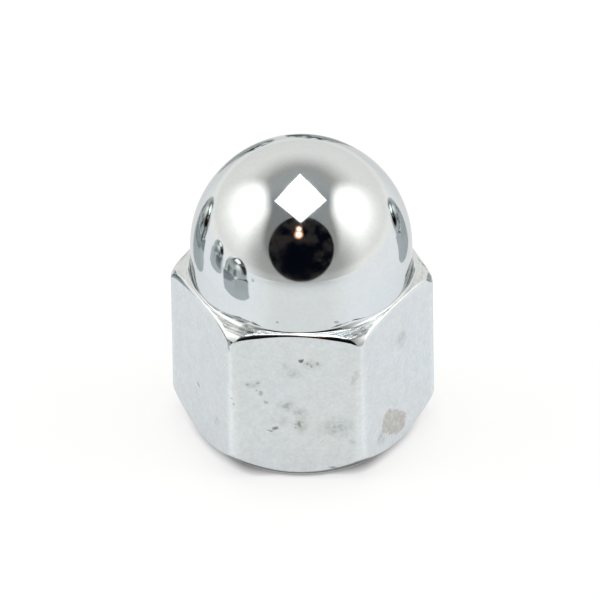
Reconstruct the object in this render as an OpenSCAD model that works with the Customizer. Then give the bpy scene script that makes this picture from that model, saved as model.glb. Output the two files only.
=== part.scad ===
// Cap nut: a hexagon nut closed by a dome, made from one piece of steel.
// It is turned, drilled and tapped from hexagon bar, then polished and plated.
// The origin is the centre of the bearing face, and +Z runs up the thread's axis.

/* [Hexagon] */
// Width across the flats of the hexagon
across_flats = 13; // [11:0.1:17]
// Height of the hexagon, from the bearing face up to the foot of the dome
hexagon_height = 10.2; // [7:0.1:14]
// Radius of the six upright edges, softened by polishing
upright_edge_radius = 0.4; // [0.1:0.05:1]

/* [Chamfers] */
// Slope of the upper chamfer, up from the horizontal
upper_chamfer_angle = 20; // [15:1:45]
// Slope of the lower chamfer, up from the horizontal
lower_chamfer_angle = 45; // [30:1:60]
// Step from the flats in to the rim of the bearing face
bearing_face_step = 0.5; // [0.1:0.05:0.8]
// Radius of the shoulder that rounds each corner off, above and below
shoulder_radius = 0.9; // [0.3:0.1:1.3]

/* [Dome] */
// Step from the flats in to the side of the dome
dome_step = 0.2; // [0.1:0.05:0.8]
// Height of the dome's straight side, below its hemisphere
dome_side_height = 1.5; // [0.5:0.1:5]
// Radius of the fillet between the upper chamfer and the dome
dome_foot_fillet = 0.1; // [0.05:0.05:0.4]

/* [Threaded hole] */
// Nominal diameter of the thread
thread_diameter = 8; // [5:0.5:9]
// Pitch of the thread
thread_pitch = 1.25; // [0.5:0.05:1.5]
// How much wider the countersunk mouth is than the thread
mouth_relief = 0.6; // [0.1:0.1:1]
// Full angle of the countersunk mouth
mouth_angle = 90; // [60:5:120]
// Full angle of the drill's point, which ends the hole
drill_point_angle = 118; // [90:1:140]
// Thickness of the crown, from the tip of the hole to the top of the dome
crown_thickness = 3; // [1.5:0.1:5]

/* [Hidden] */

$fn = 96;

// How far a cutting shape runs past the face that it cuts
run_past = 0.1;
// How far a round stands proud of the flats that it touches, so that they meet in a clean edge
hair = 0.001;
// How far the turned form stands outside the bar's corners, so that they cross cleanly
corner_clearance = 0.01;
// Depth of an ISO metric internal thread, as a share of its pitch
thread_depth_per_pitch = 0.5413;

// Hexagon
sides = 6;
flat_radius = across_flats / 2;
edge_centre_radius = (flat_radius - upright_edge_radius) / cos(180 / sides);
flat_width = 2 * edge_centre_radius * sin(180 / sides);
outer_radius = edge_centre_radius + upright_edge_radius + corner_clearance;

// Chamfers
bearing_face_radius = flat_radius - bearing_face_step;
dome_radius = flat_radius - dome_step;
lower_corner_height = (outer_radius - bearing_face_radius) * tan(lower_chamfer_angle);
upper_corner_height = hexagon_height - (outer_radius - dome_radius) * tan(upper_chamfer_angle);

// Shoulders: each touches its chamfer and the outer radius at the same distance from their corner
lower_shoulder_reach = shoulder_radius * tan((90 - lower_chamfer_angle) / 2);
upper_shoulder_reach = shoulder_radius * tan((90 - upper_chamfer_angle) / 2);
shoulder_centre_radius = outer_radius - shoulder_radius;
lower_shoulder_height = lower_corner_height + lower_shoulder_reach;
upper_shoulder_height = upper_corner_height - upper_shoulder_reach;

// Dome
dome_centre_height = hexagon_height + dome_side_height;
total_height = dome_centre_height + dome_radius;

// Fillet: it touches the dome's side and the chamfer at the same distance from their corner
fillet_reach = dome_foot_fillet * tan((90 - upper_chamfer_angle) / 2);
fillet_centre = [dome_radius + dome_foot_fillet, hexagon_height + fillet_reach];
fillet_toe = [
    dome_radius + fillet_reach * cos(upper_chamfer_angle),
    hexagon_height - fillet_reach * sin(upper_chamfer_angle)
];

// Threaded hole, bored to the minor diameter of an ISO metric thread
minor_radius = thread_diameter / 2 - thread_depth_per_pitch * thread_pitch;
mouth_radius = (thread_diameter + mouth_relief) / 2;
mouth_depth = (mouth_radius - minor_radius) / tan(mouth_angle / 2);
hole_tip = total_height - crown_thickness;
drill_point_height = minor_radius / tan(drill_point_angle / 2);

// Outline of the bar: three strips across opposite flats, and a round at each corner
module bar_outline() {
    for (i = [0 : sides / 2 - 1])
        rotate(90 + i * 360 / sides)
            square([across_flats, flat_width], center = true);
    for (i = [0 : sides - 1])
        rotate(i * 360 / sides)
            translate([edge_centre_radius, 0])
                circle(r = upright_edge_radius + hair);
}

// Half section of the hexagon's ends, as the lathe leaves them: two chamfers and two shoulders
module chamfered_section() {
    polygon([
        [0, 0],
        [bearing_face_radius, 0],
        [
            outer_radius - lower_shoulder_reach * cos(lower_chamfer_angle),
            lower_corner_height - lower_shoulder_reach * sin(lower_chamfer_angle)
        ],
        [outer_radius, lower_shoulder_height],
        [outer_radius, upper_shoulder_height],
        [
            outer_radius - upper_shoulder_reach * cos(upper_chamfer_angle),
            upper_corner_height + upper_shoulder_reach * sin(upper_chamfer_angle)
        ],
        [dome_radius, hexagon_height],
        [0, hexagon_height]
    ]);
    for (height = [lower_shoulder_height, upper_shoulder_height])
        translate([shoulder_centre_radius, height])
            circle(r = shoulder_radius + hair);
}

// Half section of the dome and its straight side
module dome_section() {
    translate([0, hexagon_height])
        square([dome_radius, dome_side_height]);
    translate([0, dome_centre_height])
        intersection() {
            circle(r = dome_radius);
            square(dome_radius);
        }
}

// Half section of the fillet at the dome's foot
module fillet_section() {
    difference() {
        polygon([
            [0, fillet_toe.y],
            fillet_toe,
            fillet_centre,
            [0, fillet_centre.y]
        ]);
        translate(fillet_centre)
            circle(r = dome_foot_fillet);
    }
}

module turned_form() {
    rotate_extrude()
        union() {
            chamfered_section();
            dome_section();
            fillet_section();
        }
}

module hole() {
    rotate_extrude()
        polygon([
            [0, -run_past],
            [mouth_radius + run_past * tan(mouth_angle / 2), -run_past],
            [minor_radius, mouth_depth],
            [minor_radius, hole_tip - drill_point_height],
            [0, hole_tip]
        ]);
}

module cap_nut() {
    color("silver")
        difference() {
            intersection() {
                linear_extrude(total_height + run_past)
                    bar_outline();
                turned_form();
            }
            hole();
        }
}

cap_nut();
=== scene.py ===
import math

import bmesh
import bpy
import numpy as np
from mathutils import Matrix, Vector


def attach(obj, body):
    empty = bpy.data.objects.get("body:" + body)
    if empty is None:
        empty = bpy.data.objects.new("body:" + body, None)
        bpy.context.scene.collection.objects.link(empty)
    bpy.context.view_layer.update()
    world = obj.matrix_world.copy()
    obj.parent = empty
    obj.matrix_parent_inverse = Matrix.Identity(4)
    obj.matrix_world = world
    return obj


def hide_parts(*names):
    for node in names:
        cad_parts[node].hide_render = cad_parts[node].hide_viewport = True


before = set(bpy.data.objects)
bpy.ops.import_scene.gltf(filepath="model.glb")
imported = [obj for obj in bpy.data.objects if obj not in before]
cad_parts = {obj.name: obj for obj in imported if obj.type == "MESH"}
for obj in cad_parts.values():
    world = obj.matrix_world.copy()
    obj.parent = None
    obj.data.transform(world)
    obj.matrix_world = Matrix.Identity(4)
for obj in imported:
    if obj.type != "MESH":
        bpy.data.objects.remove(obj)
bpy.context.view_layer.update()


# --- Camera ---------------------------------------------------------------------------------------
# A long lens on a stand, looking down on the nut from the front and a little to its right, with a
# slight roll. It is far enough away that the nut's upright edges stay all but parallel.

MM = 0.001

camera_turn = math.radians(3.7)
camera_height = math.radians(36.8)
camera_roll = math.radians(0.92)
camera_distance = 900 * MM
view_width = 34.21 * MM
# Where the middle of the bearing face lies in the view, from the view's centre
base_right = 0.217 * MM
base_down = 6.25 * MM

toward_camera = Vector((
    math.sin(camera_turn) * math.cos(camera_height),
    -math.cos(camera_turn) * math.cos(camera_height),
    math.sin(camera_height),
))
level_right = Vector((math.cos(camera_turn), math.sin(camera_turn), 0))
level_up = toward_camera.cross(level_right)
view_right = math.cos(camera_roll) * level_right - math.sin(camera_roll) * level_up
view_up = math.sin(camera_roll) * level_right + math.cos(camera_roll) * level_up

camera = bpy.data.objects.new("camera", bpy.data.cameras.new("camera"))
bpy.context.collection.objects.link(camera)
camera.data.sensor_width = 36
camera.data.lens = camera.data.sensor_width * camera_distance / view_width
camera.data.clip_start = camera_distance / 10
camera.data.clip_end = camera_distance * 10
camera_place = base_down * view_up - base_right * view_right + camera_distance * toward_camera
camera.matrix_world = (
    Matrix.Translation(camera_place)
    @ Matrix((view_right, view_up, toward_camera)).transposed().to_4x4()
)
bpy.context.scene.camera = camera
bpy.context.scene.view_settings.view_transform = "Standard"


# --- Light tent -----------------------------------------------------------------------------------
# A white fabric tent round the table: a square lamp over its roof, a soft lamp behind each side
# wall, and a round hole in front for the lens. The roof's fabric is dimmer than the walls.

# As seen from the nut, in degrees: the lens hole with the start and the end of its soft edge, and
# the height and the size of each bulb in the room behind it
lens_height = 32
lens_hole_edge = (33.4, 34.8)
bulbs_around = -3.5
bulbs = ((47.2, 3.0), (52.8, 2.2))
# As shares of its height over the nut
roof_lamp_half_width = 0.454
roof_lamp_half_depth = 0.536
roof_lamp_behind = 0.047

wall_cloth = (1.03, 1.005, 0.965, 1)
roof_cloth = (0.98, 1.01, 1.01, 1)
dark_room = (0.002, 0.003, 0.006, 1)
lit_room = (0.034, 0.029, 0.028, 1)
warm_glow = (1.6, 0.7, 0.3, 1)


def add_node(tree, kind, inputs=None, **settings):
    """Adds a node to a tree, gives it settings, and feeds each input a value or another output."""
    node = tree.nodes.new(kind)
    for name, value in settings.items():
        setattr(node, name, value)
    for name, value in (inputs or {}).items():
        if isinstance(value, bpy.types.NodeSocket):
            tree.links.new(value, node.inputs[name])
        else:
            node.inputs[name].default_value = value
    return node


def maths(tree, operation, first, second=0.0):
    node = add_node(tree, "ShaderNodeMath", {0: first, 1: second}, operation=operation)
    return node.outputs[0]


def vector_maths(tree, operation, first, second=(0, 0, 0), output="Vector"):
    node = add_node(tree, "ShaderNodeVectorMath", {0: first, 1: second}, operation=operation)
    return node.outputs[output]


def ramp(tree, value, start, end, low=0.0, high=1.0):
    """Turns a value smoothly from low, at start, to high, at end."""
    if start > end:
        start, end, low, high = end, start, high, low
    inputs = {"Value": value, "From Min": start, "From Max": end, "To Min": low, "To Max": high}
    node = add_node(tree, "ShaderNodeMapRange", inputs, interpolation_type="SMOOTHSTEP")
    return node.outputs["Result"]


def mix_colour(tree, share, first, second, blend="MIX"):
    node = add_node(tree, "ShaderNodeMix", data_type="RGBA", blend_type=blend)
    for index, value in ((0, share), (6, first), (7, second)):
        if isinstance(value, bpy.types.NodeSocket):
            tree.links.new(value, node.inputs[index])
        else:
            node.inputs[index].default_value = value
    return node.outputs[2]


def grey(level):
    return (level, level, level, 1)


def direction(around, above):
    """Unit vector in the tent: around is 0 towards the lens and 90 to its right, in degrees."""
    around, above = math.radians(around), math.radians(above)
    return Vector((
        math.sin(around) * math.cos(above),
        -math.cos(around) * math.cos(above),
        math.sin(above),
    ))


def disc(tree, ray, middle, inner, outer):
    """Mask of a round spot on the tent: 1 within inner degrees of its middle, 0 past outer."""
    closeness = vector_maths(tree, "DOT_PRODUCT", ray, middle, "Value")
    return ramp(tree, closeness, math.cos(math.radians(outer)), math.cos(math.radians(inner)))


def scaled(tree, colour, factor):
    inputs = {"Vector": colour, "Scale": factor}
    return add_node(tree, "ShaderNodeVectorMath", inputs, operation="SCALE").outputs["Vector"]


def lens_hole(tree, ray, colour):
    """Cuts the lens hole into the tent: a dark room behind it, and two small warm bulbs."""
    patches = add_node(
        tree, "ShaderNodeTexNoise", {"Vector": ray, "Scale": 5.0, "Detail": 3.0}
    ).outputs["Fac"]
    lit = maths(tree, "SUBTRACT", 1.0, disc(tree, ray, direction(-4, 20), 10, 24))
    lit = maths(tree, "MULTIPLY", lit, ramp(tree, patches, 0.4, 0.62))
    room = mix_colour(tree, lit, dark_room, lit_room)
    hole = disc(tree, ray, direction(0, lens_height), *lens_hole_edge)
    colour = mix_colour(tree, hole, colour, room)
    for height, size in bulbs:
        bulb_way = direction(bulbs_around, height)
        warm = disc(tree, ray, bulb_way, size * 0.8, size * 1.8)
        colour = mix_colour(tree, warm, colour, warm_glow)
        bulb = disc(tree, ray, bulb_way, size * 0.7, size)
        colour = mix_colour(tree, bulb, colour, grey(2.5))
    return colour


def roof_lamp(tree, x, y, z):
    """Mask of the square lamp over the roof, which is turned cornerwise to the lens."""
    z = maths(tree, "MAXIMUM", z, 0.01)
    ahead = maths(tree, "ADD", maths(tree, "DIVIDE", y, z), roof_lamp_behind)
    aside = maths(tree, "DIVIDE", x, z)
    # Its edges bow outwards a little in front, and inwards behind
    bow = maths(tree, "MULTIPLY_ADD", maths(tree, "SIGN", ahead), -0.11)
    bow.node.inputs[2].default_value = 0.95
    share = 0.0
    for offset, reach in ((aside, roof_lamp_half_width), (ahead, roof_lamp_half_depth)):
        offset = maths(tree, "DIVIDE", maths(tree, "ABSOLUTE", offset), reach)
        share = maths(tree, "ADD", maths(tree, "POWER", offset, bow), share)
    return ramp(tree, share, 1.02, 0.98)


def light_tent():
    world = bpy.data.worlds.new("light_tent")
    world.use_nodes = True
    tree = world.node_tree
    tree.nodes.clear()
    here = add_node(tree, "ShaderNodeTexCoord").outputs["Generated"]
    turned = add_node(
        tree, "ShaderNodeVectorRotate", {"Vector": here, "Angle": -camera_turn},
        rotation_type="Z_AXIS",
    ).outputs[0]
    ray = vector_maths(tree, "NORMALIZE", turned)
    parts = add_node(tree, "ShaderNodeSeparateXYZ", {0: ray}).outputs
    x, y, z = parts["X"], parts["Y"], parts["Z"]
    aside = maths(tree, "MAXIMUM", maths(tree, "ABSOLUTE", x), 0.01)
    right = maths(tree, "SIGN", x)

    # The fabric is evenly lit near the table, and dims towards the roof
    behind = maths(tree, "MAXIMUM", y, 0.0)
    outwards = add_node(tree, "ShaderNodeCombineXYZ", {"X": aside, "Y": behind}).outputs[0]
    outwards = vector_maths(tree, "LENGTH", outwards, output="Value")
    up_tent = maths(tree, "DIVIDE", z, outwards)
    level = ramp(tree, up_tent, 0.49, 1.53, 1.0, 0.45)

    # A soft lamp shines through each side wall, the right one a little nearer and brighter
    across = maths(tree, "ADD", maths(tree, "DIVIDE", y, aside), 0.134)
    across = maths(tree, "ADD", across, maths(tree, "MULTIPLY", right, 0.085))
    up_wall = maths(tree, "DIVIDE", z, aside)
    glow = ramp(tree, maths(tree, "ABSOLUTE", across), 1.12, 0.18)
    glow = maths(tree, "MULTIPLY", glow, ramp(tree, up_wall, 0.03, 1.18))
    glow = maths(tree, "MULTIPLY", glow, ramp(tree, up_wall, 2.09, 1.2))
    lamp = maths(tree, "ADD", maths(tree, "MULTIPLY", right, 0.15), 1.85)
    level = maths(tree, "ADD", level, maths(tree, "MULTIPLY", glow, lamp))

    # Less light falls on the front, round the lens hole, but the table throws some back up there
    near_lens = disc(tree, ray, direction(0, 34), 30, 76)
    over_lens = disc(tree, ray, direction(0, 46), 20, 45)
    least = maths(tree, "ADD", maths(tree, "MULTIPLY", right, 0.04), 0.32)
    level = maths(tree, "MULTIPLY", level, ramp(tree, near_lens, 0.0, 1.0, 1.0, 0.45))
    level = maths(tree, "MULTIPLY", level, maths(tree, "SUBTRACT", 1.0, over_lens))
    level = maths(tree, "MAXIMUM", level, least)
    level = maths(tree, "ADD", level, ramp(tree, z, 0.0, 0.1, 0.11, 0.0))
    # Below the table the light falls off, so that the nut's underside keeps its shape
    level = maths(tree, "MULTIPLY", level, ramp(tree, z, -0.1, -0.95, 1.0, 0.35))
    roof = ramp(tree, up_tent, 1.5, 2.0)
    colour = mix_colour(tree, roof, wall_cloth, roof_cloth)
    colour = scaled(tree, colour, level)

    colour = lens_hole(tree, ray, colour)
    colour = mix_colour(tree, roof_lamp(tree, x, y, z), colour, grey(3.0))
    seen = add_node(tree, "ShaderNodeLightPath").outputs["Is Camera Ray"]
    colour = mix_colour(tree, seen, colour, grey(1.0))
    background = add_node(tree, "ShaderNodeBackground", {"Color": colour, "Strength": 1.0})
    add_node(tree, "ShaderNodeOutputWorld", {"Surface": background.outputs[0]})
    bpy.context.scene.world = world


light_tent()


# --- Table ----------------------------------------------------------------------------------------
# A wide white sheet that the nut stands on. It glows white, and only a painted shade close round
# the nut shows on it, darkened into the glow where the nut covers the sky. It is clear from below
# and open under the bearing face, which covers the opening, so that the nut's underside can be
# seen and lit.

table_radius = 200 * MM
table_opening = 6 * MM
table_gap = 0.01 * MM
# How far the painted shade round the nut's foot reaches: straight in front, at the sides, and
# faintly
front_shade = 0.24 * MM
side_shade = 0.62 * MM
faint_shade = 1.5 * MM


def covered(tree, reach):
    """How much of the sky over a place on the sheet the nut covers, within reach of the place."""
    open_air = add_node(tree, "ShaderNodeAmbientOcclusion", {"Distance": reach}, samples=8)
    return maths(tree, "SUBTRACT", 1.0, open_air.outputs["AO"])


def white_sheet():
    material = bpy.data.materials.new("white_sheet")
    material.use_nodes = True
    tree = material.node_tree
    tree.nodes.clear()
    path = add_node(tree, "ShaderNodeLightPath").outputs
    here = add_node(tree, "ShaderNodeTexCoord").outputs["Object"]
    lens_side = direction(0, 0)
    lens_side.rotate(Matrix.Rotation(camera_turn, 3, "Z"))
    ahead = vector_maths(tree, "DOT_PRODUCT", here, lens_side, "Value")
    aside = vector_maths(tree, "CROSS_PRODUCT", here, lens_side)
    aside = vector_maths(tree, "LENGTH", aside, output="Value")
    # The painted shade close round the nut is narrowest straight in front of it,
    # and faint at its sides
    reach = ramp(tree, aside, 1.2 * MM, 3.2 * MM, front_shade, side_shade)
    fading = ramp(tree, aside, 3.4 * MM, 5.0 * MM, 1.25, 2.8)
    painted_shade = maths(tree, "POWER", covered(tree, reach), fading)
    share = ramp(tree, aside, 2.0 * MM, 3.5 * MM, 0.0, 0.12)
    faint = maths(tree, "MULTIPLY", covered(tree, faint_shade), share)
    painted_shade = maths(tree, "ADD", painted_shade, faint)
    # The sheet's glow: white, less the painted shade
    level = maths(tree, "MULTIPLY", maths(tree, "SUBTRACT", 1.0, painted_shade), 0.68)
    level = maths(tree, "ADD", level, maths(tree, "MULTIPLY", path["Is Camera Ray"], 0.03))
    # Its glow, as the nut mirrors it, is painted dimmer towards the lens, and brighter and cooler
    # towards the lamps
    painted_dimming = ramp(tree, ahead, 35 * MM, 150 * MM, 0.0, 0.42)
    painted_dimming = maths(tree, "MULTIPLY", painted_dimming, ramp(tree, aside, 120 * MM, 40 * MM))
    distance = vector_maths(tree, "LENGTH", here, output="Value")
    sideways = ramp(tree, maths(tree, "DIVIDE", aside, distance), 0.25, 0.85)
    painted_mirror_glow = maths(tree, "MULTIPLY", maths(tree, "SUBTRACT", 1.0, painted_dimming), level)
    painted_mirror_glow = maths(tree, "MULTIPLY", painted_mirror_glow, ramp(tree, sideways, 0.0, 1.0, 0.96, 1.13))
    colour = mix_colour(tree, sideways, (0.995, 1.0, 0.995, 1), (0.985, 1.0, 1.025, 1))
    painted_mirror_glow = scaled(tree, scaled(tree, colour, painted_mirror_glow), path["Is Glossy Ray"])
    seen = scaled(tree, grey(1.0)[:3], maths(tree, "MULTIPLY", level, path["Is Camera Ray"]))
    colour = vector_maths(tree, "ADD", painted_mirror_glow, seen)
    glow = add_node(tree, "ShaderNodeEmission", {"Color": colour, "Strength": 1.0})
    paper = add_node(tree, "ShaderNodeBsdfDiffuse", {"Color": grey(0.3)})
    both = add_node(tree, "ShaderNodeAddShader", {0: glow.outputs[0], 1: paper.outputs[0]})
    below = add_node(tree, "ShaderNodeNewGeometry").outputs["Backfacing"]
    clear = add_node(tree, "ShaderNodeBsdfTransparent")
    sheet = add_node(
        tree, "ShaderNodeMixShader", {0: below, 1: both.outputs[0], 2: clear.outputs[0]}
    )
    add_node(tree, "ShaderNodeOutputMaterial", {"Surface": sheet.outputs[0]})
    return material


def flat_ring(name, inner, outer, steps=96):
    turns = [2 * math.pi * step / steps for step in range(steps)]
    points = [(r * math.cos(t), r * math.sin(t), 0) for r in (inner, outer) for t in turns]
    faces = [(i, i + steps, (i + 1) % steps + steps, (i + 1) % steps) for i in range(steps)]
    data = bpy.data.meshes.new(name)
    data.from_pydata(points, [], faces)
    return data


table = bpy.data.objects.new("table", flat_ring("table", table_opening, table_radius))
bpy.context.collection.objects.link(table)
table.location.z = -table_gap
table.data.materials.append(white_sheet())


# --- Cap nut --------------------------------------------------------------------------------------
# One piece of steel: turned, drilled and tapped from hexagon bar, polished, then nickel and chrome
# plated. The plating doesn't reach far up the thread, which stays dull.

across_flats = 13.0
hexagon_height = 10.2
upright_edge_radius = 0.4
upper_chamfer_angle = math.radians(20)
lower_chamfer_angle = math.radians(45)
shoulder_radius = 0.9
bearing_face_step = 0.5
dome_step = 0.2
dome_side_height = 1.5
dome_foot_fillet = 0.1
thread_diameter = 8.0
thread_pitch = 1.25
mouth_relief = 0.6
mouth_angle = math.radians(90)
drill_point_angle = math.radians(118)
crown_thickness = 3.0
# How far short of the drill's point the tap stops, and over what length its thread fades out
tap_clearance = 1.0
thread_run_out = 1.6

# Radii to which polishing wears the turned edges. At the dome's foot it opens the fillet out over
# the corners, where the chamfer is wide enough for the polishing wheel to reach in.
foot_corner_fillet = 0.45
rim_wear = 0.05
mouth_wear = 0.05
lower_edge_wear = 0.1
upper_edge_wear = 0.2
upper_corner_wear = 0.7
lower_corner_wear = 0.3

# How far the turned shoulders stand outside the bar's corners
corner_clearance = 0.01
# Depth of an ISO metric internal thread, as a share of its pitch
thread_depth_per_pitch = 0.5413

sides = 6
flat_radius = across_flats / 2
bearing_face_radius = flat_radius - bearing_face_step
dome_radius = flat_radius - dome_step
edge_centre_radius = (flat_radius - upright_edge_radius) / math.cos(math.pi / sides)
corner_radius = edge_centre_radius + upright_edge_radius
shoulder_centre_radius = corner_radius + corner_clearance - shoulder_radius
dome_centre_height = hexagon_height + dome_side_height
total_height = dome_centre_height + dome_radius
thread_radius = thread_diameter / 2
minor_radius = thread_radius - thread_depth_per_pitch * thread_pitch
mouth_radius = thread_radius + mouth_relief / 2
hole_tip = total_height - crown_thickness
bore_end = hole_tip - minor_radius / math.tan(drill_point_angle / 2)
thread_end = bore_end - tap_clearance
full_thread_end = thread_end - thread_run_out

# How finely the mesh is divided
flat_steps = 22
corner_steps = 6
dome_steps = 48
rows_per_turn = 20


def bar_outline():
    """Points round the bar's outline, with their unit normals: six round corners and six flats."""
    points, normals = [], []
    half_flat = math.atan2(edge_centre_radius * math.sin(math.pi / sides), flat_radius)
    for side in range(sides):
        corner = side * 2 * math.pi / sides
        for step in range(corner_steps):
            turn = corner + (step / corner_steps - 0.5) * 2 * math.pi / sides
            normal = np.array((math.cos(turn), math.sin(turn)))
            centre = edge_centre_radius * np.array((math.cos(corner), math.sin(corner)))
            points.append(centre + upright_edge_radius * normal)
            normals.append(normal)
        facing = corner + math.pi / sides
        for step in range(flat_steps):
            aside = (2 * step / flat_steps - 1) * half_flat
            normal = np.array((math.cos(facing), math.sin(facing)))
            along = np.array((-normal[1], normal[0]))
            points.append(flat_radius * (normal + math.tan(aside) * along))
            normals.append(normal)
    return np.array(points), np.array(normals)


outline, outline_normals = bar_outline()
columns = len(outline)
outline_radius = np.hypot(outline[:, 0], outline[:, 1])
outward = outline / outline_radius[:, None]


class Skin:
    """Rows of points up the nut's surface, one point a column, each with its normal."""

    def __init__(self):
        self.rows = []

    def add(self, radius, height, normal=None):
        radius = np.broadcast_to(radius, columns)
        height = np.broadcast_to(height, columns)
        points = np.column_stack((outward * radius[:, None], height))
        if normal is None:
            normal = np.zeros((columns, 3))
        self.rows.append((points, normal))


def turned_normal(tilt):
    """Normals of a turned surface that tilt up from the level by tilt."""
    tilt = np.broadcast_to(tilt, columns)
    return np.column_stack((outward * np.cos(tilt)[:, None], np.sin(tilt)))


def worn_edge(skin, corner, before, after, normal_before, normal_after, wear, steps):
    """Rounds the edge between two surfaces that meet at corner, (radius, height) for each column.

    before and after are the directions, (radius, height), in which the section runs to the corner
    and away from it.
    """
    turn = np.arccos(np.clip(before[0] * after[0] + before[1] * after[1], -1, 1))
    turn = np.broadcast_to(turn, columns)
    reach = wear * np.tan(turn / 2)
    start = [corner[i] - reach * before[i] for i in (0, 1)]
    end = [corner[i] + reach * after[i] for i in (0, 1)]
    for step in range(steps + 1):
        share = step / steps
        # Point on the arc, from its chord's two ends and the corner between them
        angle = (share - 0.5) * turn
        along = 0.5 + np.sin(angle) / (2 * np.sin(turn / 2))
        bulge = (np.cos(angle) - np.cos(turn / 2)) / (np.sin(turn / 2) * np.tan(turn / 2))
        row = []
        for i in (0, 1):
            chord = start[i] + along * (end[i] - start[i])
            middle = (start[i] + end[i]) / 2
            row.append(chord + bulge * (corner[i] - middle))
        weight_before = np.sin((1 - share) * turn)[:, None]
        weight_after = np.sin(share * turn)[:, None]
        normal = weight_before * normal_before + weight_after * normal_after
        normal /= np.linalg.norm(normal, axis=1)[:, None]
        skin.add(row[0], row[1], normal)


def end_length(radius, start_radius, slope):
    """Length of a turned end's section, from the start of its chamfer out to a radius."""
    touch = shoulder_centre_radius + shoulder_radius * math.sin(slope)
    straight = (np.minimum(radius, touch) - start_radius) / math.cos(slope)
    angle = np.arcsin((np.maximum(radius, touch) - shoulder_centre_radius) / shoulder_radius)
    return straight + (angle - slope) * shoulder_radius


def end_point(length, start_radius, slope):
    """Radius, fall and slope of a turned end at a length: a chamfer, and then its shoulder."""
    touch = shoulder_centre_radius + shoulder_radius * math.sin(slope)
    straight = np.minimum(length, (touch - start_radius) / math.cos(slope))
    angle = slope + (length - straight) / shoulder_radius
    radius = straight * math.cos(slope) + shoulder_radius * (np.sin(angle) - math.sin(slope))
    fall = straight * math.sin(slope) + shoulder_radius * (math.cos(slope) - np.cos(angle))
    return start_radius + radius, fall, angle


def outside():
    """Rows from the mouth of the hole over the bearing face, the hexagon and the dome."""
    skin = Skin()
    flat_normal = np.column_stack((outline_normals, np.zeros(columns)))
    face_normal = turned_normal(-math.pi / 2)
    level, upright = (1, 0), (0, 1)
    mouth_way = (math.sin(mouth_angle / 2), -math.cos(mouth_angle / 2))
    lower_way = (math.cos(lower_chamfer_angle), math.sin(lower_chamfer_angle))
    upper_way = (-math.cos(upper_chamfer_angle), math.sin(upper_chamfer_angle))
    lower_normal = turned_normal(lower_chamfer_angle - math.pi / 2)
    upper_normal = turned_normal(math.pi / 2 - upper_chamfer_angle)
    mouth_normal = turned_normal(math.pi + mouth_angle / 2)

    nearness = (outline_radius - flat_radius) / (corner_radius - flat_radius)
    upper_wear = upper_edge_wear + (upper_corner_wear - upper_edge_wear) * nearness
    lower_wear = lower_edge_wear + (lower_corner_wear - lower_edge_wear) * nearness
    lower_end = (bearing_face_radius, lower_chamfer_angle)
    lower_length = end_length(outline_radius, *lower_end)
    _, flat_start, lower_slope = end_point(lower_length, *lower_end)
    upper_end = (dome_radius, upper_chamfer_angle)
    upper_length = end_length(outline_radius, *upper_end)
    _, fall, upper_slope = end_point(upper_length, *upper_end)
    flat_end = hexagon_height - fall

    worn_edge(skin, (mouth_radius, 0.0), mouth_way, level, mouth_normal, face_normal, mouth_wear, 4)
    for share in (0.25, 0.5, 0.75):
        radius = mouth_radius + share * (bearing_face_radius - mouth_radius)
        skin.add(radius, 0.0, face_normal)
    worn_edge(
        skin, (bearing_face_radius, 0.0), level, lower_way, face_normal, lower_normal, rim_wear, 4
    )
    worn_length = lower_length - lower_wear * np.tan((math.pi / 2 - lower_slope) / 2)
    for share in np.linspace(0, 1, 10)[1:-1]:
        length = rim_wear + share * (worn_length - rim_wear)
        radius, rise, slope = end_point(length, *lower_end)
        skin.add(radius, rise, turned_normal(slope - math.pi / 2))
    _, _, slope = end_point(worn_length, *lower_end)
    worn_edge(
        skin, (outline_radius, flat_start), (np.cos(lower_slope), np.sin(lower_slope)), upright,
        turned_normal(slope - math.pi / 2), flat_normal, lower_wear, 6,
    )
    for share in np.linspace(0, 1, 12)[1:-1]:
        skin.add(outline_radius, flat_start + share * (flat_end - flat_start), flat_normal)
    worn_length = upper_length - upper_wear * np.tan((math.pi / 2 - upper_slope) / 2)
    _, _, slope = end_point(worn_length, *upper_end)
    worn_edge(
        skin, (outline_radius, flat_end), upright, (-np.cos(upper_slope), np.sin(upper_slope)),
        flat_normal, turned_normal(math.pi / 2 - slope), upper_wear, 8,
    )
    foot_fillet = dome_foot_fillet + (foot_corner_fillet - dome_foot_fillet) * nearness
    foot_length = foot_fillet * math.tan((math.pi / 2 - upper_chamfer_angle) / 2)
    for share in np.linspace(1, 0, 12)[1:-1]:
        length = foot_length + share * (worn_length - foot_length)
        radius, fall, slope = end_point(length, *upper_end)
        skin.add(radius, hexagon_height - fall, turned_normal(math.pi / 2 - slope))
    worn_edge(
        skin, (dome_radius, hexagon_height), upper_way, upright, upper_normal, turned_normal(0.0),
        foot_fillet, 8,
    )
    skin.add(dome_radius, dome_centre_height - dome_side_height / 2, turned_normal(0.0))
    for step in range(dome_steps):
        tilt = step / dome_steps * math.pi / 2
        radius = dome_radius * math.cos(tilt)
        skin.add(radius, dome_centre_height + dome_radius * math.sin(tilt), turned_normal(tilt))
    return skin.rows


def thread_radius_at(turn, height):
    """Radius of the tapped wall: a 60 degree thread that fades out at its end and at the mouth."""
    phase = (height / thread_pitch - turn / (2 * math.pi)) % 1.0
    from_root = np.abs(phase - 0.5) * thread_pitch
    flank = from_root - thread_pitch / 16
    depth = (thread_radius - minor_radius) - np.maximum(flank, 0) / math.tan(math.radians(30))
    fade = np.clip((thread_end - height) / (thread_end - full_thread_end), 0, 1)
    groove = minor_radius + np.maximum(depth - (1 - fade) * (thread_radius - minor_radius), 0)
    mouth = mouth_radius - height / math.tan(mouth_angle / 2)
    return np.maximum(groove, mouth)


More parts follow.
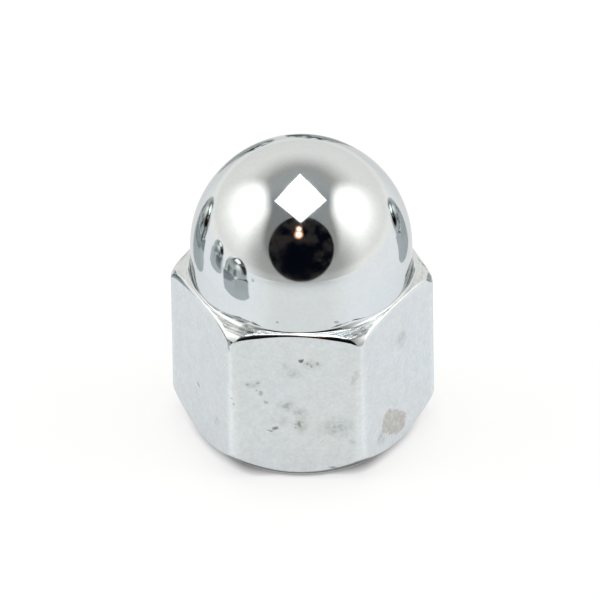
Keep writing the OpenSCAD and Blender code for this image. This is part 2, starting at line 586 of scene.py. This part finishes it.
class MeshParts:
    """Vertices, faces and wanted normals of a mesh as it is built up."""

    def __init__(self):
        self.points, self.normals, self.faces, self.finishes = [], [], [], []

    def add_point(self, point, normal=(0, 0, 0)):
        self.points.append(point)
        self.normals.append(normal)
        return len(self.points) - 1

    def add_ring(self, points, normals):
        return [self.add_point(p, n) for p, n in zip(points, normals)]

    def add_face(self, corners, finish):
        kept = [c for i, c in enumerate(corners) if c != corners[i - 1]]
        if len(kept) > 2:
            self.faces.append(kept)
            self.finishes.append(finish)

    def join_rings(self, lower, upper, finish):
        for i in range(len(lower)):
            self.add_face((lower[i - 1], lower[i], upper[i], upper[i - 1]), finish)

    def close_ring(self, ring, tip, finish):
        for i in range(len(ring)):
            self.add_face((ring[i - 1], ring[i], tip), finish)


POLISHED, FACED, TAPPED = range(3)
# How close a row of the thread may come to the ring that cuts it off
hair = 1e-6
# Rows of the skin from the mouth of the hole out to the middle of the bearing face's worn rim
faced_rows = 10


def tapped_wall(mesh, lower_ring, lower_height, upper_ring, upper_height):
    """The thread as one helical strip of faces, cut off level at a ring at each end."""
    turns = np.arctan2(outline[:, 1], outline[:, 0])
    turns = np.unwrap(turns)
    turns -= turns[0]
    row_count = int(rows_per_turn * (math.ceil(upper_height / thread_pitch) + 2))
    start = lower_height - thread_pitch
    grid = []
    for row in range(row_count):
        line = []
        for column in range(columns):
            height = start + thread_pitch * (row / rows_per_turn + turns[column] / (2 * math.pi))
            if height <= lower_height + hair:
                line.append(lower_ring[column])
            elif height >= upper_height - hair:
                line.append(upper_ring[column])
            else:
                radius = float(thread_radius_at(turns[column], height))
                line.append(mesh.add_point((*(outward[column] * radius), height)))
        grid.append(line)
    for row in range(row_count - 1):
        for column in range(columns - 1):
            mesh.add_face(
                (grid[row][column], grid[row][column + 1],
                 grid[row + 1][column + 1], grid[row + 1][column]), TAPPED
            )
        if row + 1 + rows_per_turn < row_count:
            mesh.add_face(
                (grid[row][-1], grid[row + rows_per_turn][0],
                 grid[row + 1 + rows_per_turn][0], grid[row + 1][-1]), TAPPED
            )


def cap_nut_mesh():
    mesh = MeshParts()
    rows = outside()
    rings = [mesh.add_ring(points, normals) for points, normals in rows]
    for index, (lower, upper) in enumerate(zip(rings, rings[1:])):
        finish = FACED if index < faced_rows else POLISHED
        mesh.join_rings(lower, upper, finish)
    top = mesh.add_point((0, 0, total_height), (0, 0, 1))
    mesh.close_ring(rings[-1], top, POLISHED)

    none = np.zeros((columns, 3))
    bore_rows = []
    for height in (thread_end, (thread_end + bore_end) / 2, bore_end):
        points = np.column_stack((outward * minor_radius, np.full(columns, height)))
        bore_rows.append(mesh.add_ring(points, none))
    for share in (0.25, 0.5, 0.75):
        height = bore_end + share * (hole_tip - bore_end)
        points = np.column_stack((outward * minor_radius * (1 - share), np.full(columns, height)))
        bore_rows.append(mesh.add_ring(points, none))
    for lower, upper in zip(bore_rows, bore_rows[1:]):
        mesh.join_rings(lower, upper, TAPPED)
    mesh.close_ring(bore_rows[-1], mesh.add_point((0, 0, hole_tip)), TAPPED)
    mouth_points, _ = rows[0]
    tapped_wall(mesh, rings[0], mouth_points[0][2], bore_rows[0], thread_end)

    data = bpy.data.meshes.new("cap_nut")
    data.from_pydata([Vector(p) * MM for p in mesh.points], [], mesh.faces)
    data.polygons.foreach_set("material_index", mesh.finishes)
    data.polygons.foreach_set("use_smooth", [True] * len(mesh.faces))
    data.update()
    return data, mesh.normals


def face_outwards(data):
    """Turns every face the same way: out of the steel."""
    work = bmesh.new()
    work.from_mesh(data)
    bmesh.ops.recalc_face_normals(work, faces=work.faces)
    work.to_mesh(data)
    work.free()


def node_group(name, inputs, outputs):
    """Starts a node group; returns it with its inputs, and the sockets that take its outputs."""
    group = bpy.data.node_groups.new(name, "ShaderNodeTree")
    for way, sockets in (("INPUT", inputs), ("OUTPUT", outputs)):
        for socket_name, kind in sockets.items():
            group.interface.new_socket(socket_name, in_out=way, socket_type="NodeSocket" + kind)
    given = group.nodes.new("NodeGroupInput").outputs
    result = group.nodes.new("NodeGroupOutput").inputs
    return group, given, result


def noise(tree, place, scale, detail=2.0, roughness=0.5):
    inputs = {"Vector": place, "Scale": scale, "Detail": detail, "Roughness": roughness}
    return add_node(tree, "ShaderNodeTexNoise", inputs).outputs


def spot_group():
    """A soft spot at a place."""
    group, given, result = node_group(
        "spot", {"Position": "Vector", "Centre": "Vector", "Size": "Vector", "Soft": "Float"},
        {"Mask": "Float"},
    )
    offset = vector_maths(group, "SUBTRACT", given["Position"], given["Centre"])
    offset = vector_maths(group, "DIVIDE", offset, given["Size"])
    distance = vector_maths(group, "LENGTH", offset, output="Value")
    inside = maths(group, "DIVIDE", maths(group, "SUBTRACT", 1.0, distance), given["Soft"])
    group.links.new(ramp(group, inside, 0.0, 1.0), result["Mask"])
    return group


def plating_film_group():
    """Cloudy patches and fine grain in the plating, both about 0, and scattered tiny pits."""
    group, given, result = node_group(
        "plating_film",
        {"Position": "Vector", "Patch": "Float", "Pits": "Float"},
        {"Cloud": "Float", "Grain": "Float", "Warm": "Float", "Pits": "Float"},
    )
    place = given["Position"]
    patches = noise(group, vector_maths(group, "DIVIDE", place, given["Patch"]), 1.0, 5.0, 0.62)
    cloud = maths(group, "SUBTRACT", patches["Fac"], 0.5)
    group.links.new(maths(group, "MULTIPLY", cloud, 2.0), result["Cloud"])
    grain = maths(group, "SUBTRACT", noise(group, place, 4.5, 2.0, 0.7)["Fac"], 0.5)
    group.links.new(maths(group, "MULTIPLY", grain, 2.0), result["Grain"])
    warm = maths(group, "SUBTRACT", noise(group, place, 0.35, 2.0)["Fac"], 0.5)
    group.links.new(maths(group, "MULTIPLY", warm, 2.0), result["Warm"])
    cells = add_node(group, "ShaderNodeTexVoronoi", {"Vector": place, "Scale": 0.9})
    dice = add_node(group, "ShaderNodeSeparateColor", {0: cells.outputs["Color"]}).outputs
    # Only some of the cells hold a pit, and each has its own size
    reach = maths(group, "MULTIPLY", dice["Red"], 0.085)
    pit = maths(group, "LESS_THAN", dice["Green"], given["Pits"])
    depth = maths(group, "DIVIDE", cells.outputs["Distance"], maths(group, "ADD", reach, 0.02))
    pit = maths(group, "MULTIPLY", pit, ramp(group, depth, 1.0, 0.4))
    group.links.new(pit, result["Pits"])
    return group


def turning_marks_group():
    """Height of the fine grooves that a lathe tool leaves round the nut's axis."""
    group, given, result = node_group(
        "turning_marks", {"Position": "Vector", "Grooves per mm": "Float"}, {"Height": "Float"}
    )
    parts = add_node(group, "ShaderNodeSeparateXYZ", {0: given["Position"]}).outputs
    level = add_node(group, "ShaderNodeCombineXYZ", {"X": parts["X"], "Y": parts["Y"]}).outputs[0]
    radius = vector_maths(group, "LENGTH", level, output="Value")
    along = maths(group, "SUBTRACT", radius, parts["Z"])
    along = maths(group, "MULTIPLY", along, given["Grooves per mm"])
    way = vector_maths(group, "NORMALIZE", level)
    way = add_node(group, "ShaderNodeSeparateXYZ", {0: way}).outputs
    place = add_node(group, "ShaderNodeCombineXYZ", {"X": along, "Y": way["X"], "Z": way["Y"]})
    marks = noise(group, place.outputs[0], 1.0, 3.0, 0.6)["Fac"]
    group.links.new(marks, result["Height"])
    return group


def scratches_group():
    """Mask of thin straight scratches that all run one way."""
    group, given, result = node_group(
        "scratches", {"Position": "Vector", "Turn": "Vector", "Share": "Float"}, {"Mask": "Float"}
    )
    inputs = {"Vector": given["Position"], "Rotation": given["Turn"], "Scale": (0.35, 9.0, 9.0)}
    stretched = add_node(group, "ShaderNodeMapping", inputs).outputs[0]
    lines = noise(group, stretched, 1.0, 1.0)["Fac"]
    limit = maths(group, "SUBTRACT", 1.0, given["Share"])
    over = maths(group, "SUBTRACT", lines, limit)
    group.links.new(ramp(group, over, 0.0, 0.05), result["Mask"])
    return group


spot = spot_group()
plating_film = plating_film_group()
turning_marks = turning_marks_group()
scratches = scratches_group()


def in_millimetres(tree):
    here = add_node(tree, "ShaderNodeTexCoord").outputs["Object"]
    return scaled(tree, here, 1 / MM)


def spots(tree, position, places, per_mm, ragged, soft=0.6):
    """Mask of a set of ragged spots, each with its centre, its size and how strong it is."""
    shift = noise(tree, position, per_mm, 3.0, 0.6)["Color"]
    shift = vector_maths(tree, "SUBTRACT", shift, (0.5, 0.5, 0.5))
    position = vector_maths(tree, "ADD", position, scaled(tree, shift, ragged))
    mask = 0.0
    for centre, size, strength in places:
        inputs = {"Position": position, "Centre": centre, "Size": size, "Soft": soft}
        here = add_node(tree, "ShaderNodeGroup", inputs, node_tree=spot).outputs["Mask"]
        mask = maths(tree, "MAXIMUM", maths(tree, "MULTIPLY", here, strength), mask)
    return mask


def front(x, z, width, height, strength):
    """A spot on the front flat, in mm from its middle and from the bearing face."""
    return (x, -flat_radius, z), (width, 0.4, height), strength


plating_colour = (0.655, 0.69, 0.70, 1)
plating_tint = (0.8, 0.8, 0.8, 1)
pit_colour = (0.10, 0.11, 0.10, 1)
dull_colour = (0.43, 0.47, 0.45, 1)
stain_colour = (0.45, 0.425, 0.38, 1)
dome_foot_dark_colour = (0.09, 0.065, 0.045, 1)
scratch_colour = (0.75, 0.76, 0.76, 1)
bare_steel_colour = (0.46, 0.455, 0.44, 1)
oil_colour = (0.26, 0.19, 0.12, 1)

# Corrosion pits in the flats and the dome, a nick in the front flat's lower edge, and a painted
# dark reflection: an upright streak high on the front left corner
pits = (
    front(0.3, 8.37, 0.19, 0.22, 0.85),
    front(0.68, 8.2, 0.14, 0.13, 0.45),
    front(0.9, 8.02, 0.12, 0.12, 0.4),
    front(1.22, 8.24, 0.11, 0.13, 0.4),
    front(-2.78, 6.6, 0.2, 0.08, 0.35),
    front(-2.15, 6.78, 0.14, 0.14, 0.35),
    front(-2.0, 6.03, 0.17, 0.24, 0.38),
    front(-1.74, 5.4, 0.17, 0.2, 0.4),
    front(0.16, 3.92, 0.15, 0.26, 0.55),
    front(-1.22, 3.58, 0.22, 0.14, 0.7),
    front(-1.5, 3.42, 0.28, 0.09, 0.5),
    front(-3.55, 5.2, 0.13, 0.13, 0.3),
    front(2.1, 0.86, 0.42, 0.12, 0.6),
    ((-5.77, -3.01, 3.9), (0.2, 0.2, 0.16), 0.5),
    # A painted dark reflection, not a pit: an upright streak high on the front left corner
    ((-3.8, -6.45, 9.3), (0.12, 0.2, 0.6), 0.45),
    ((-1.0, -6.22, 10.85), (0.13, 0.1, 0.12), 0.45),
    ((2.3, -5.86, 10.67), (0.16, 0.1, 0.12), 0.4),
    ((-2.41, -5.6, 13.3), (0.12, 0.12, 0.12), 0.3),
)
# Mottled dull patches round them, where the plating has gone thin
dull_patches = (
    front(-0.1, 7.45, 0.95, 0.6, 0.65),
    front(-0.55, 8.05, 0.4, 0.35, 0.5),
    front(1.0, 8.12, 0.75, 0.5, 0.9),
    front(-2.45, 6.65, 0.7, 0.4, 0.8),
    front(-0.55, 5.15, 0.7, 0.6, 1.0),
    front(0.2, 4.75, 0.6, 0.65, 0.9),
    front(0.2, 3.9, 0.6, 0.9, 1.0),
    front(-0.9, 4.1, 0.7, 0.5, 0.5),
    front(2.3, 3.7, 1.4, 1.0, 0.9),
    front(3.1, 2.7, 0.4, 0.3, 0.6),
    front(3.3, 7.3, 0.3, 1.0, 0.6),
    ((-4.65, -4.95, 2.77), (0.5, 0.5, 0.5), 0.7),
    ((5.79, -2.97, 7.54), (0.8, 0.8, 0.9), 0.7),
    ((4.7, -4.86, 1.9), (0.6, 0.6, 0.7), 0.9),
)
# A dried drop on the front right flat
stains = (
    ((5.06, -4.24, 2.6), (0.72, 0.72, 0.8), 1.0),
    ((5.36, -3.72, 2.17), (0.7, 0.7, 0.85), 1.0),
    ((5.66, -3.2, 1.75), (0.72, 0.72, 0.8), 1.0),
)
# Dark brown spots on the chamfer where it meets the dome's foot
dome_foot_dark_spots = (
    ((-2.95, -5.85, 10.1), (0.4, 0.3, 0.3), 0.7),
    ((-2.5, -6.12, 10.08), (0.45, 0.2, 0.3), 1.0),
    ((3.45, -6.05, 9.95), (0.4, 0.14, 0.3), 0.7),
    ((3.8, -5.65, 10.0), (0.3, 0.35, 0.3), 0.6),
)


def upright_edges(tree, position):
    """Mask of the hexagon's six upright edges."""
    reach = 0.0
    for corner in range(sides // 2):
        turn = corner * 2 * math.pi / sides
        way = (math.cos(turn), math.sin(turn), 0)
        across = vector_maths(tree, "DOT_PRODUCT", position, way, "Value")
        reach = maths(tree, "MAXIMUM", maths(tree, "ABSOLUTE", across), reach)
    return ramp(tree, reach, corner_radius - 0.26, corner_radius - 0.03)


def chrome_plate():
    """Bright chrome over nickel on the flats, the chamfers and the dome, pitted by weather."""
    material = bpy.data.materials.new("chrome_plate")
    material.use_nodes = True
    tree = material.node_tree
    shader = tree.nodes["Principled BSDF"]
    position = in_millimetres(tree)
    height = add_node(tree, "ShaderNodeSeparateXYZ", {0: position}).outputs["Z"]
    facing = add_node(tree, "ShaderNodeNewGeometry").outputs["Normal"]
    tilt = add_node(tree, "ShaderNodeSeparateXYZ", {0: facing}).outputs["Z"]
    on_dome = ramp(tree, height, hexagon_height - 0.1, hexagon_height + 0.1)
    turned = maths(tree, "ADD", ramp(tree, tilt, 0.8, 0.92), ramp(tree, tilt, -0.5, -0.68))
    turned = maths(tree, "MULTIPLY", turned, maths(tree, "SUBTRACT", 1.0, on_dome))

    film = add_node(
        tree, "ShaderNodeGroup", {"Position": position, "Patch": 0.8, "Pits": 0.2},
        node_tree=plating_film,
    ).outputs
    cloudy = maths(tree, "MULTIPLY", film["Cloud"], ramp(tree, on_dome, 0.0, 1.0, 0.1, 0.04))
    grain = maths(tree, "MULTIPLY", film["Grain"], ramp(tree, on_dome, 0.0, 1.0, 0.13, 0.05))
    tone = maths(tree, "ADD", maths(tree, "ADD", cloudy, grain), 1.0)
    # The upright edges get a painted highlight, brightest near the bearing face
    scratches_and_edge_highlight = ramp(tree, height, 9.0, 4.0, 0.02, 0.09)
    scratches_and_edge_highlight = maths(tree, "MULTIPLY", upright_edges(tree, position), scratches_and_edge_highlight)
    tone = maths(tree, "ADD", tone, scratches_and_edge_highlight)
    colour = scaled(tree, plating_colour[:3], tone)
    warmth = ramp(tree, film["Warm"], -0.4, 0.4)
    tint = mix_colour(tree, warmth, (0.99, 1.0, 1.008, 1), (1.008, 1.0, 0.99, 1))
    colour = mix_colour(tree, 1.0, colour, tint, "MULTIPLY")

    grooves = add_node(
        tree, "ShaderNodeGroup", {"Position": position, "Grooves per mm": 4.5},
        node_tree=turning_marks,
    ).outputs["Height"]
    speckle = noise(tree, position, 3.2, 3.0, 0.7)["Fac"]
    dull = spots(tree, position, dull_patches, 1.6, 0.7, 1.0)
    dull = maths(tree, "MULTIPLY", dull, ramp(tree, speckle, 0.36, 0.64, 0.3, 1.3))
    stain = spots(tree, position, stains, 1.2, 0.8, 0.15)
    stain = maths(tree, "MULTIPLY", stain, ramp(tree, speckle, 0.35, 0.6, 0.5, 1.0))
    # Darkening at the dome's foot, strongest along the turning grooves
    dome_foot_darkening = spots(tree, position, dome_foot_dark_spots, 3.0, 0.35)
    dome_foot_darkening = maths(tree, "MULTIPLY", dome_foot_darkening, ramp(tree, grooves, 0.42, 0.56, 0.15, 1.0))
    # The pits, with the painted dark reflection streak among them
    pits_and_painted_streak = spots(tree, position, pits, 5.0, 0.3)
    small_holes = maths(tree, "MULTIPLY", film["Pits"], ramp(tree, on_dome, 0.0, 1.0, 0.35, 0.12))
    pits_and_painted_streak = maths(tree, "MAXIMUM", pits_and_painted_streak, small_holes)
    colour = mix_colour(tree, dull, colour, dull_colour)
    colour = mix_colour(tree, maths(tree, "MULTIPLY", stain, 0.85), colour, stain_colour)
    colour = mix_colour(tree, dome_foot_darkening, colour, dome_foot_dark_colour)
    colour = mix_colour(tree, pits_and_painted_streak, colour, pit_colour)
    tree.links.new(colour, shader.inputs["Base Color"])

    rough = ramp(tree, film["Cloud"], -0.4, 0.4, 0.045, 0.085)
    for mask, added in ((dull, 0.12), (stain, 0.2), (dome_foot_darkening, 0.3), (pits_and_painted_streak, 0.3), (turned, 0.04)):
        rough = maths(tree, "ADD", rough, maths(tree, "MULTIPLY", mask, added))
    tree.links.new(rough, shader.inputs["Roughness"])
    shader.inputs["Metallic"].default_value = 1.0
    shader.inputs["Specular Tint"].default_value = plating_tint

    grooves = maths(tree, "MULTIPLY", grooves, maths(tree, "MULTIPLY", turned, 0.08))
    waves = maths(tree, "MULTIPLY", noise(tree, position, 1.3, 2.0)["Fac"], 0.0016)
    pits_and_painted_streak = maths(tree, "MULTIPLY", pits_and_painted_streak, -0.02)
    relief = maths(tree, "ADD", maths(tree, "ADD", grooves, waves), pits_and_painted_streak)
    bump = add_node(tree, "ShaderNodeBump", {"Height": relief, "Distance": MM, "Strength": 1.0})
    tree.links.new(bump.outputs[0], shader.inputs["Normal"])
    return material


def faced_chrome():
    """The bearing face and the countersink: plated straight over the marks of the lathe."""
    material = bpy.data.materials.new("faced_chrome")
    material.use_nodes = True
    tree = material.node_tree
    shader = tree.nodes["Principled BSDF"]
    position = in_millimetres(tree)
    film = add_node(
        tree, "ShaderNodeGroup", {"Position": position, "Patch": 1.6, "Pits": 0.35},
        node_tree=plating_film,
    ).outputs
    scratches_and_edge_highlight = 0.0
    for turn in ((0, 0, 0.5), (0, 0, 1.4), (0, 0, 2.7)):
        lines = add_node(
            tree, "ShaderNodeGroup", {"Position": position, "Turn": turn, "Share": 0.3},
            node_tree=scratches,
        ).outputs["Mask"]
        scratches_and_edge_highlight = maths(tree, "MAXIMUM", scratches_and_edge_highlight, lines)
    tone = maths(tree, "ADD", maths(tree, "MULTIPLY", film["Cloud"], 0.25), 0.92)
    colour = scaled(tree, plating_colour[:3], tone)
    colour = mix_colour(tree, maths(tree, "MULTIPLY", scratches_and_edge_highlight, 0.3), colour, scratch_colour)
    colour = mix_colour(tree, maths(tree, "MULTIPLY", film["Pits"], 0.7), colour, pit_colour)
    tree.links.new(colour, shader.inputs["Base Color"])
    rough = ramp(tree, film["Cloud"], -0.4, 0.4, 0.1, 0.24)
    rough = maths(tree, "ADD", rough, maths(tree, "MULTIPLY", scratches_and_edge_highlight, 0.1))
    tree.links.new(rough, shader.inputs["Roughness"])
    shader.inputs["Metallic"].default_value = 1.0
    shader.inputs["Specular Tint"].default_value = plating_tint
    grooves = add_node(
        tree, "ShaderNodeGroup", {"Position": position, "Grooves per mm": 7.0},
        node_tree=turning_marks,
    ).outputs["Height"]
    relief = maths(tree, "MULTIPLY", grooves, 0.02)
    relief = maths(tree, "SUBTRACT", relief, maths(tree, "MULTIPLY", scratches_and_edge_highlight, 0.004))
    bump = add_node(tree, "ShaderNodeBump", {"Height": relief, "Distance": MM, "Strength": 1.0})
    tree.links.new(bump.outputs[0], shader.inputs["Normal"])
    return material


def tapped_steel():
    """The tapped hole: bare steel, dull from the tap, with a brown film of old cutting oil."""
    material = bpy.data.materials.new("tapped_steel")
    material.use_nodes = True
    tree = material.node_tree
    shader = tree.nodes["Principled BSDF"]
    position = in_millimetres(tree)
    film = add_node(
        tree, "ShaderNodeGroup", {"Position": position, "Patch": 2.0, "Pits": 0.3},
        node_tree=plating_film,
    ).outputs
    tone = maths(tree, "ADD", maths(tree, "MULTIPLY", film["Cloud"], 0.4), 1.0)
    colour = scaled(tree, bare_steel_colour[:3], tone)
    oil = ramp(tree, film["Warm"], -0.1, 0.5, 0.0, 0.6)
    colour = mix_colour(tree, oil, colour, oil_colour)
    colour = mix_colour(tree, maths(tree, "MULTIPLY", film["Pits"], 0.6), colour, pit_colour)
    tree.links.new(colour, shader.inputs["Base Color"])
    tree.links.new(ramp(tree, film["Cloud"], -0.4, 0.4, 0.28, 0.45), shader.inputs["Roughness"])
    shader.inputs["Metallic"].default_value = 1.0
    grooves = add_node(
        tree, "ShaderNodeGroup", {"Position": position, "Grooves per mm": 9.0},
        node_tree=turning_marks,
    ).outputs["Height"]
    relief = maths(tree, "MULTIPLY", grooves, 0.015)
    bump = add_node(tree, "ShaderNodeBump", {"Height": relief, "Distance": MM, "Strength": 1.0})
    tree.links.new(bump.outputs[0], shader.inputs["Normal"])
    return material


cap_nut_data, wanted_normals = cap_nut_mesh()
face_outwards(cap_nut_data)
cap_nut_data.normals_split_custom_set_from_vertices(wanted_normals)
cap_nut = bpy.data.objects.new("cap_nut_body", cap_nut_data)
bpy.context.collection.objects.link(cap_nut)
for finish in (chrome_plate, faced_chrome, tapped_steel):
    cap_nut_data.materials.append(finish())

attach(cap_nut, "root")
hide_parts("cap_nut")


# --- Neighbours -----------------------------------------------------------------------------------
# Other nuts of the same kind stand round this one on the sheet, their chrome painted darker than
# this nut's as painted shade. The lens doesn't take them in, and they only show as small mirror
# images in its dome.

# Where each stands: degrees round the nut, its distance in mm, and how far it is turned
neighbour_places = (
    (-61.5, 27, 25),
    (-88, 41, 20),
    (-119, 25, 0),
    (-165, 44, 25),
    (118, 28, 50),
    (175, 45, 15),
)
neighbour_scale = 0.88
# Darker than this nut's plating: painted shade
neighbour_shaded_colour = (0.50, 0.53, 0.54, 1)

neighbour_data = cap_nut_data.copy()
neighbour_shaded_chrome = bpy.data.materials.new("neighbour_shaded_chrome")
neighbour_shaded_chrome.use_nodes = True
neighbour_shader = neighbour_shaded_chrome.node_tree.nodes["Principled BSDF"]
neighbour_shader.inputs["Base Color"].default_value = neighbour_shaded_colour
neighbour_shader.inputs["Metallic"].default_value = 1.0
neighbour_shader.inputs["Roughness"].default_value = 0.08
for index in range(len(neighbour_data.materials)):
    neighbour_data.materials[index] = neighbour_shaded_chrome

for number, (around, distance, turn) in enumerate(neighbour_places, start=1):
    neighbour = bpy.data.objects.new(f"neighbour_{number}", neighbour_data)
    bpy.context.collection.objects.link(neighbour)
    place = direction(around, 0) * distance * MM
    place.rotate(Matrix.Rotation(camera_turn, 3, "Z"))
    neighbour.location = place
    neighbour.rotation_euler = (0, 0, math.radians(turn))
    neighbour.scale = (neighbour_scale, neighbour_scale, neighbour_scale)
    neighbour.visible_camera = False
    neighbour.visible_diffuse = False
    neighbour.visible_shadow = False
